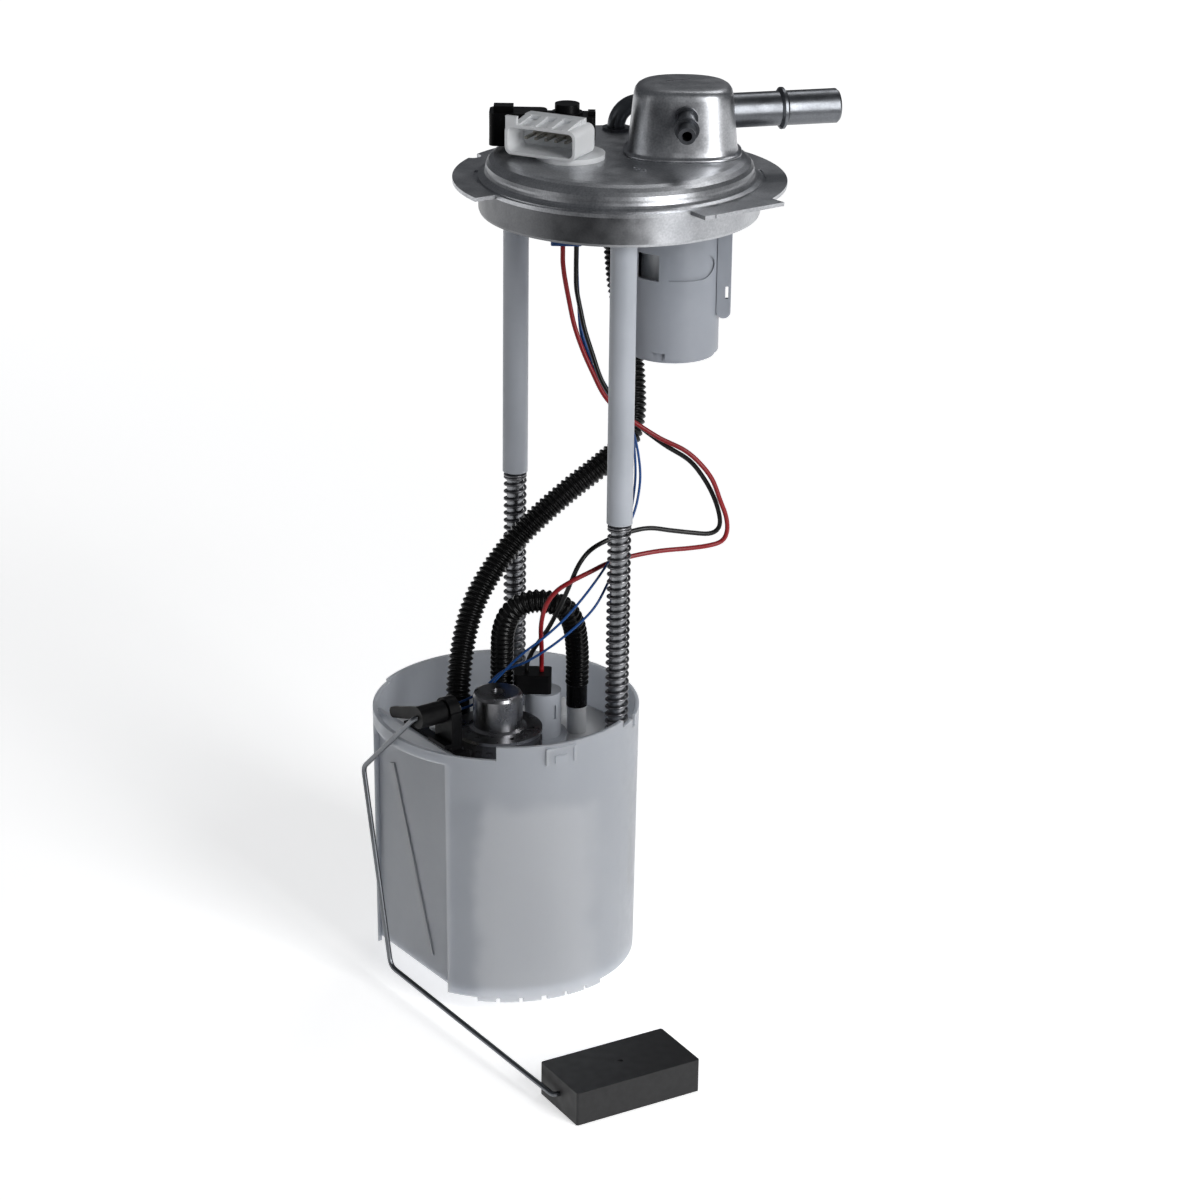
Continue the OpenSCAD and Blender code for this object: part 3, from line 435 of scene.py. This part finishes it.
milky = milky_plastic()
black = plastic("black_plastic", (0.002, 0.002, 0.0022), (0.005, 0.005, 0.0055), (0.30, 0.44), 900.0,
                0.00004, gloss=0.12)
blue_shell = plastic("blue_plastic", (0.010, 0.045, 0.16), (0.016, 0.07, 0.23), (0.34, 0.46))
rubber = plastic("seal_rubber", (0.012, 0.012, 0.012), (0.022, 0.022, 0.022), (0.6, 0.75))
nylon = plastic("hose_nylon", (0.002, 0.002, 0.002), (0.005, 0.005, 0.005), (0.20, 0.30), 800.0,
                0.00003, gloss=0.18)
red_skin = plastic("wire_red_skin", (0.20, 0.006, 0.010), (0.30, 0.010, 0.014), (0.30, 0.42),
                   gloss=0.4)
black_skin = plastic("wire_black_skin", (0.002, 0.002, 0.002), (0.006, 0.006, 0.006), (0.30, 0.42),
                     gloss=0.35)
blue_skin = plastic("wire_blue_skin", (0.006, 0.050, 0.20), (0.010, 0.075, 0.28), (0.30, 0.42),
                    gloss=0.4)
ceramic = plastic("ceramic_card", (0.55, 0.53, 0.46), (0.66, 0.64, 0.57), (0.5, 0.6))
foam = plastic("float_foam", (0.006, 0.006, 0.0065), (0.013, 0.013, 0.014), (0.42, 0.56), 2600.0,
               0.00008, cloud=420.0, gloss=0.4)
cloth = woven("filter_cloth", (0.50, 0.50, 0.46), (0.74, 0.74, 0.70), 0.0006)

FINISH = {
    "mounting_ring": zinc, "flange_cap": zinc, "flange_skirt": skirt_zinc, "vapour_dome": zinc,
    "vapour_tube": tube_steel, "vent_nipple": tube_steel, "fuel_outlet_tube": tube_steel,
    "connector_shell": white, "connector_pins": brass, "pressure_sensor": black,
    "sensor_seal": rubber, "inner_plug": blue_shell, "vent_valve_body": valve_grey,
    "vent_valve_base": valve_grey, "vent_valve_float": white, "vent_valve_spring": wire_steel,
    "vent_bracket": valve_grey, "guide_rod_left": rod_steel, "guide_rod_right": rod_steel,
    "guide_sleeve_left": sleeve_white, "guide_sleeve_right": sleeve_white,
    "rod_clip_left": wire_steel, "rod_clip_right": wire_steel, "guide_spring_left": wire_steel,
    "guide_spring_right": wire_steel, "fuel_hose": nylon, "pump_hose": nylon,
    "wire_red": red_skin, "wire_black": black_skin, "wire_blue_1": blue_skin,
    "wire_blue_2": blue_skin, "hose_stub": black, "reservoir_bucket": milky,
    "holder_plate": white, "hose_fitting": black, "jet_pump": white, "regulator_cap": bright_steel,
    "regulator_flange": bright_steel, "regulator_body": ferrite, "pump_can": bright_steel,
    "pump_top": sleeve_white, "pump_inlet": white, "pump_magnets": ferrite, "pump_shaft": rod_steel,
    "pump_armature": copper, "pump_impeller": black, "pump_plug": black, "inlet_strainer": cloth,
    "sender_housing": black, "sender_card": ceramic, "sender_wiper": brass, "sender_rotor": black,
    "float_wire": tube_steel, "float_block": foam,
}

for name, material in FINISH.items():
    mesh = nodes[name].data
    mesh.materials.clear()
    mesh.materials.append(material)


# cords

HOSE = [
    (0.025, 0.038, -0.026), (0.025, 0.038, -0.036), (0.0255, 0.037, -0.048), (0.026, 0.035, -0.062),
    (0.027, 0.031, -0.077), (0.0275, 0.027, -0.091), (0.026, 0.022, -0.108), (0.0225, 0.017, -0.122),
    (0.0155, 0.0135, -0.133), (0.002, 0.0145, -0.142), (-0.0135, 0.0175, -0.152),
    (-0.0285, 0.0205, -0.163), (-0.042, 0.0235, -0.175), (-0.054, 0.0245, -0.188),
    (-0.0635, 0.0235, -0.200), (-0.0705, 0.021, -0.213), (-0.076, 0.017, -0.226),
    (-0.080, 0.013, -0.238), (-0.081, 0.011, -0.246), (-0.081, 0.011, -0.2499),
]
LOOP = [
    (-0.058, 0.009, -0.2499), (-0.058, 0.009, -0.242), (-0.058, 0.009, -0.232),
    (-0.0585, 0.008, -0.221), (-0.059, 0.0065, -0.211), (-0.0575, 0.0035, -0.202),
    (-0.0535, 0.0, -0.1965), (-0.0475, -0.004, -0.1945), (-0.041, -0.008, -0.1955),
    (-0.035, -0.010, -0.1995), (-0.0305, -0.010, -0.207), (-0.0275, -0.0085, -0.216),
    (-0.0255, -0.007, -0.228), (-0.025, -0.006, -0.242), (-0.025, -0.006, -0.2519),
]
RED = [
    (-0.026, 0.0075, -0.0276), (-0.026, 0.0075, -0.036), (-0.0253, 0.007, -0.043),
    (-0.0235, 0.006, -0.054), (-0.022, 0.0035, -0.066), (-0.020, -0.0005, -0.077),
    (-0.0175, -0.005, -0.087), (-0.015, -0.011, -0.097), (-0.0105, -0.017, -0.1045),
    (-0.004, -0.022, -0.110), (0.005, -0.028, -0.117), (0.014, -0.035, -0.1225),
    (0.020, -0.0395, -0.129), (0.025, -0.0425, -0.137), (0.028, -0.045, -0.147),
    (0.0305, -0.0465, -0.155), (0.031, -0.047, -0.162), (0.029, -0.046, -0.167),
    (0.023, -0.044, -0.1687), (0.014, -0.040, -0.1695), (0.001, -0.035, -0.1697),
    (-0.0125, -0.031, -0.1708), (-0.024, -0.0285, -0.1726), (-0.033, -0.027, -0.1755),
    (-0.042, -0.024, -0.1795), (-0.048, -0.021, -0.184), (-0.052, -0.0185, -0.191),
    (-0.0525, -0.0155, -0.202), (-0.049, -0.011, -0.216), (-0.0455, -0.006, -0.226),
    (-0.0455, -0.006, -0.2299),
]
BLACK = [
    (-0.0185, 0.0075, -0.0276), (-0.0185, 0.0075, -0.036), (-0.0185, 0.0075, -0.042),
    (-0.0185, 0.007, -0.050), (-0.0175, 0.005, -0.060), (-0.017, 0.002, -0.069),
    (-0.015, -0.0015, -0.080), (-0.0135, -0.006, -0.0905), (-0.011, -0.0105, -0.098),
    (-0.0065, -0.015, -0.1055), (0.0, -0.0195, -0.113), (0.009, -0.0265, -0.1215),
    (0.0185, -0.033, -0.129), (0.0245, -0.0375, -0.1385), (0.0285, -0.0405, -0.1485),
    (0.0305, -0.042, -0.158), (0.0295, -0.0415, -0.163), (0.0255, -0.040, -0.1646),
    (0.019, -0.037, -0.1638), (0.008, -0.033, -0.1615), (-0.001, -0.030, -0.1595),
    (-0.010, -0.0275, -0.160), (-0.022, -0.025, -0.1627), (-0.031, -0.0242, -0.166),
    (-0.037, -0.024, -0.1715), (-0.040, -0.022, -0.180), (-0.042, -0.019, -0.189),
    (-0.045, -0.011, -0.206), (-0.049, -0.004, -0.219), (-0.0515, -0.0025, -0.226),
    (-0.0515, -0.0025, -0.2299),
]
BLUE_1 = [
    (-0.0162, 0.0105, -0.0276), (-0.0162, 0.0105, -0.036), (-0.016, 0.0103, -0.043),
    (-0.0158, 0.0095, -0.055), (-0.0166, 0.006, -0.071), (-0.0147, 0.001, -0.0835),
    (-0.0107, -0.0046, -0.096), (-0.006, -0.011, -0.106), (-0.0005, -0.0145, -0.117),
    (0.0023, -0.0165, -0.135), (0.0005, -0.0175, -0.149), (-0.006, -0.0205, -0.159),
    (-0.022, -0.0296, -0.1685), (-0.0355, -0.0315, -0.181), (-0.0455, -0.0265, -0.195),
    (-0.054, -0.020, -0.206), (-0.0625, -0.0125, -0.216), (-0.071, -0.006, -0.228),
    (-0.0785, -0.003, -0.238), (-0.089, -0.001, -0.241), (-0.098, 0.0035, -0.2425),
    (-0.104, 0.0055, -0.244), (-0.104, 0.0055, -0.2463),
]
BLUE_2 = [
    (-0.0147, 0.0118, -0.0276), (-0.0147, 0.0118, -0.036), (-0.0147, 0.0118, -0.043),
    (-0.0145, 0.011, -0.055), (-0.0142, 0.0085, -0.071), (-0.012, 0.0035, -0.0835),
    (-0.008, -0.0025, -0.096), (-0.003, -0.008, -0.107), (0.0015, -0.0105, -0.118),
    (0.003, -0.012, -0.137), (-0.0005, -0.0145, -0.153), (-0.012, -0.023, -0.170),
    (-0.027, -0.033, -0.180), (-0.038, -0.0355, -0.191), (-0.050, -0.028, -0.205),
    (-0.060, -0.017, -0.217), (-0.067, -0.004, -0.226), (-0.076, 0.001, -0.236),
    (-0.088, 0.0035, -0.240), (-0.097, 0.008, -0.2415), (-0.104, 0.0095, -0.2436),
    (-0.104, 0.0095, -0.2463),
]


def cord_line(points, step):
    """The first and last stretches are straight, the rest is one smooth curve, as in the CAD."""
    inner = smooth_line(points[1:-1], step)
    start, end = Vector(points[0]), Vector(points[-1])
    head = [start.lerp(inner[0], k / 4) for k in range(4)]
    tail = [inner[-1].lerp(end, k / 4) for k in range(1, 5)]
    return even_line(head + inner + tail, step)


def ribbed(crest, valley, pitch, start, end):
    """Radius of a convoluted hose: round crests and narrow valleys between two plain cuffs."""
    def radius_at(run):
        if run < start or run > end:
            return (crest + valley) / 2
        wave = 0.5 - 0.5 * math.cos(2 * math.pi * (run - start) / pitch)
        return valley + (crest - valley) * wave ** 0.6
    return radius_at


def make_cord(name, points, radius_at, sides, step, material, cad_node, bodies):
    line = cord_line(points, step)
    piece = tube(name, line, radius_at, sides, material)
    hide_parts(cad_node)
    if len(bodies) == 2:
        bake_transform(piece)
    else:
        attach(piece, bodies[0])


HOSE_PITCH = 0.00262
HOSE_CREST, HOSE_VALLEY = 0.0059, 0.0046
LOOP_CREST, LOOP_VALLEY = 0.0056, 0.0044
HOSE_SIDES = 28
PUMP_WIRE_R = 0.0011
SENDER_WIRE_R = 0.0006
BOTH = ("flange", "reservoir")

hose_length = line_length(cord_line(HOSE, 0.002))
loop_length = line_length(cord_line(LOOP, 0.002))
make_cord("convoluted_hose", HOSE,
          ribbed(HOSE_CREST, HOSE_VALLEY, HOSE_PITCH, 0.006, hose_length - 0.008), HOSE_SIDES,
          HOSE_PITCH / 7, nylon, "fuel_hose", BOTH)
make_cord("convoluted_loop", LOOP,
          ribbed(LOOP_CREST, LOOP_VALLEY, HOSE_PITCH, 0.008, loop_length - 0.011), HOSE_SIDES,
          HOSE_PITCH / 7, nylon, "pump_hose", ("reservoir",))
make_cord("pump_wire_red", RED, lambda run: PUMP_WIRE_R, 14, 0.0015, red_skin,
          "wire_red", BOTH)
make_cord("pump_wire_black", BLACK, lambda run: PUMP_WIRE_R, 14, 0.0015, black_skin,
          "wire_black", BOTH)
make_cord("sender_wire_1", BLUE_1, lambda run: SENDER_WIRE_R, 12, 0.0012, blue_skin,
          "wire_blue_1", BOTH)
make_cord("sender_wire_2", BLUE_2, lambda run: SENDER_WIRE_R, 12, 0.0012, blue_skin,
          "wire_blue_2", BOTH)


# coil springs

ROD_X, ROD_Y = -0.028, 0.0426
SPRING_TOP, SPRING_BOTTOM = -0.1478, -0.2555
SPRING_R, SPRING_WIRE_R, SPRING_TURNS = 0.0049, 0.00068, 31
CLOSED_TURNS, CLOSED_RISE = 1.6, 0.35


def coil_line(x, y, z_low, z_high, radius, turns):
    """Helix whose end turns lie close together, as on a ground compression spring."""
    line = []
    steps = 28
    flat = CLOSED_TURNS / turns
    for i in range(turns * steps + 1):
        turn = i / steps
        share = turn / turns
        if share < flat:
            rise = CLOSED_RISE * share
        elif share > 1 - flat:
            rise = 1 - CLOSED_RISE * (1 - share)
        else:
            rise = CLOSED_RISE * flat + (share - flat) * (1 - 2 * CLOSED_RISE * flat) / (1 - 2 * flat)
        a = 2 * math.pi * turn
        line.append(Vector((x + radius * math.cos(a), y + radius * math.sin(a),
                            z_low + (z_high - z_low) * rise)))
    return line


def guide_coil(name, cad_node, side):
    y = side * ROD_Y
    line = coil_line(ROD_X, y, SPRING_BOTTOM + 0.0007, SPRING_TOP - 0.0007, SPRING_R, SPRING_TURNS)
    piece = tube(name, line, lambda run: SPRING_WIRE_R, 8, wire_steel)
    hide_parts(cad_node)
    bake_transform(piece)


guide_coil("coil_left", "guide_spring_left", 1)
guide_coil("coil_right", "guide_spring_right", -1)


# pressed dome

DOME_X, DOME_Y, DOME_BASE = 0.027, -0.011, 0.0125
DOME_HEIGHT = 0.0315
FRONT_POWER, BACK_POWER = 2.9, 2.3


def dome_outline(r, flat, count):
    """Rounded square outline, shallower and squarer on the side that faces the nipple."""
    points = []
    for i in range(count):
        a = 2 * math.pi * i / count
        power = FRONT_POWER if math.cos(a) > 0 else BACK_POWER
        deep = flat if math.cos(a) > 0 else r
        c, d = abs(math.cos(a)) / deep, abs(math.sin(a)) / r
        points.append((a, (c ** power + d ** power) ** (-1.0 / power)))
    return points


def make_dome():
    """Closed shell from the lip up; each row gives height in metres, radius and front depth in mm."""
    profile = [(0.0012, 26.4, 22.6), (0.0013, 25.6, 21.8), (0.0024, 25.1, 21.2), (0.0046, 24.8, 20.9),
               (0.010, 24.3, 20.5), (0.017, 23.6, 20.0), (0.023, 23.0, 19.5), (0.0266, 22.6, 19.2),
               (0.0286, 22.1, 18.8), (0.0300, 21.1, 18.0), (0.0308, 19.8, 16.8), (0.0312, 18.0, 15.2),
               (0.0314, 13.0, 11.4), (DOME_HEIGHT, 6.0, 5.6)]
    lip = [(0.0, 27.0, 23.0), (0.0009, 27.0, 23.0)]
    rings, count = [], 120
    for z, r, flat in lip + profile:
        row = []
        for a, radius in dome_outline(r * MM, flat * MM, count):
            d = -AWAY * math.cos(a) + ACROSS * math.sin(a)
            row.append(Vector((DOME_X, DOME_Y, DOME_BASE + z)) + d * radius)
        rings.append(row)
    verts = [v for row in rings for v in row]
    faces = []
    for i in range(len(rings) - 1):
        for j in range(count):
            k = (j + 1) % count
            faces.append((i * count + k, i * count + j, (i + 1) * count + j, (i + 1) * count + k))
    verts.append(Vector((DOME_X, DOME_Y, DOME_BASE + DOME_HEIGHT)))
    top = (len(rings) - 1) * count
    for j in range(count):
        faces.append((top + (j + 1) % count, top + j, len(verts) - 1))
    faces.append(tuple(range(count)))
    piece = add_mesh("pressed_dome", verts, faces, zinc)
    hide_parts("vapour_dome")
    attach(piece, "flange")


make_dome()


# moulded rib in the pocket, and a dark bar on the dome top as painted shade of a pressed dash

def bar(name, corners, depth, material):
    """Flat bar from four corners, raised by depth."""
    lift = Vector(depth)
    verts = [Vector(c) for c in corners] + [Vector(c) + lift for c in corners]
    faces = [(0, 1, 2, 3), (7, 6, 5, 4), (0, 4, 5, 1), (1, 5, 6, 2), (2, 6, 7, 3), (3, 7, 4, 0)]
    return add_mesh(name, verts, faces, material, smooth=False)


rib = bar("pocket_rib", [(-0.1128, 0.0205, -0.2700), (-0.1128, 0.0171, -0.2690),
                         (-0.1128, -0.0161, -0.3560), (-0.1128, -0.0127, -0.3570)],
          (-0.0010, 0.0, 0.0), milky)
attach(rib, "reservoir")

# painted shade: a raised bar of dark magnet material stands in for the shade in a pressed dash on the
# zinc dome
dome_shade_bar = bar("dome_dash_shade", [(0.0219, -0.0053, 0.0438), (0.0221, -0.0043, 0.0438),
                         (0.0334, -0.0067, 0.0438), (0.0332, -0.0077, 0.0438)],
           (0.0, 0.0, 0.0003), ferrite)
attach(dome_shade_bar, "flange")


# edges of the CAD pieces

SOFT_EDGES = {
    "mounting_ring": 0.0003, "flange_cap": 0.0008, "flange_skirt": 0.0003, "vapour_tube": 0.0004,
    "vent_nipple": 0.0003, "fuel_outlet_tube": 0.0003, "connector_shell": 0.0005,
    "connector_pins": 0.0001, "pressure_sensor": 0.0004, "inner_plug": 0.0003,
    "vent_valve_body": 0.0003, "vent_bracket": 0.0004, "guide_sleeve_left": 0.0003,
    "guide_sleeve_right": 0.0003, "hose_stub": 0.0003, "reservoir_bucket": 0.0003,
    "holder_plate": 0.0003, "hose_fitting": 0.0003, "jet_pump": 0.0004, "regulator_cap": 0.0004,
    "regulator_flange": 0.0003, "regulator_body": 0.0003, "pump_top": 0.0004, "pump_plug": 0.0004,
    "sender_housing": 0.0004, "sender_rotor": 0.0005, "float_block": 0.0013,
}
for name, width in SOFT_EDGES.items():
    soften(name, width)


# floor, backdrop and light

FLOOR_R, FLOOR_SIDES = 6.0, 64
FADE_START, FADE_END = -0.75, -0.33
LAMP_AIM = Vector((0.0, 0.0, -0.16))
SKY_GREY = 0.17


def make_stage():
    """Wide white floor; the light it gives back fades out in front, as past a table's edge."""
    level = cad_low.z - 0.0005
    material, tree, bsdf = shader("stage_paper")
    bsdf.inputs["Roughness"].default_value = 0.9
    where = tree.nodes.new("ShaderNodeTexCoord").outputs["Object"]
    fade = node(tree, "ShaderNodeMapRange")
    fade.inputs["From Min"].default_value = FADE_START
    fade.inputs["From Max"].default_value = FADE_END
    tree.links.new(along(tree, where, AWAY), fade.inputs["Value"])
    rays = tree.nodes.new("ShaderNodeLightPath")
    white_part = calc(tree, "MAXIMUM", fade.outputs["Result"], rays.outputs["Is Camera Ray"])
    tree.links.new(ramp(tree, white_part, [(0.0, (0.10, 0.10, 0.11)), (1.0, (0.94, 0.94, 0.94))]),
                   bsdf.inputs["Base Color"])
    seen = calc(tree, "MAXIMUM", rays.outputs["Is Camera Ray"], rays.outputs["Is Glossy Ray"])
    seen = calc(tree, "MAXIMUM", seen, rays.outputs["Is Transmission Ray"])
    far = node(tree, "ShaderNodeVectorMath", operation="LENGTH")
    tree.links.new(where, far.inputs[0])
    reach = node(tree, "ShaderNodeMapRange")
    reach.inputs["From Min"].default_value = 0.3
    reach.inputs["From Max"].default_value = 2.0
    reach.inputs["To Min"].default_value = 0.10
    reach.inputs["To Max"].default_value = 0.42
    tree.links.new(far.outputs["Value"], reach.inputs["Value"])
    level_seen = calc(tree, "ADD", calc(tree, "MULTIPLY", seen, reach.outputs["Result"]), 0.5)
    bsdf.inputs["Emission Color"].default_value = (1.0, 1.0, 1.0, 1.0)
    tree.links.new(calc(tree, "MULTIPLY", level_seen, white_part), bsdf.inputs["Emission Strength"])
    turns = [2 * math.pi * k / FLOOR_SIDES for k in range(FLOOR_SIDES)]
    verts = [Vector((FLOOR_R * math.cos(a), FLOOR_R * math.sin(a), level)) for a in turns]
    add_mesh("stage_floor", verts, [tuple(range(FLOOR_SIDES))], material)


def softbox(name, turn, lift, distance, width, height, power):
    """Area light; turn is degrees to the right of the camera, lift degrees over the horizon."""
    data = bpy.data.lights.new(name, "AREA")
    data.shape = "RECTANGLE"
    data.size = width
    data.size_y = height
    data.energy = power
    lamp = bpy.data.objects.new(name, data)
    t, e = math.radians(turn), math.radians(lift)
    back = (-AWAY * math.cos(t) + ACROSS * math.sin(t)) * math.cos(e) + UP * math.sin(e)
    lamp.location = LAMP_AIM + back * distance
    lamp.rotation_euler = (-back).to_track_quat("-Z", "Y").to_euler()
    bpy.context.scene.collection.objects.link(lamp)


def make_light():
    world = bpy.data.worlds.new("studio")
    world.use_nodes = True
    tree = world.node_tree
    rays = tree.nodes.new("ShaderNodeLightPath")
    paper = tree.nodes.new("ShaderNodeRGB")
    paper.outputs[0].default_value = (0.5, 0.52, 0.56, 1.0)
    white_sky = mix_colour(tree, rays.outputs["Is Camera Ray"], paper.outputs[0], (1.0, 1.0, 1.0))
    tree.links.new(white_sky, tree.nodes["Background"].inputs["Color"])
    seen = calc(tree, "MULTIPLY", rays.outputs["Is Camera Ray"], 1.0 - SKY_GREY)
    strength = calc(tree, "ADD", seen, SKY_GREY)
    tree.links.new(strength, tree.nodes["Background"].inputs["Strength"])
    bpy.context.scene.world = world
    softbox("key_right", 40.0, 20.0, 1.7, 0.55, 1.4, 23.0)
    softbox("fill_left", -62.0, 16.0, 2.0, 0.16, 1.4, 1.5)
    softbox("back_rim", 150.0, 55.0, 2.0, 0.8, 0.5, 5.0)


make_stage()
make_light()
bpy.context.scene.view_settings.view_transform = "Standard"
bpy.context.scene.view_settings.look = "None"
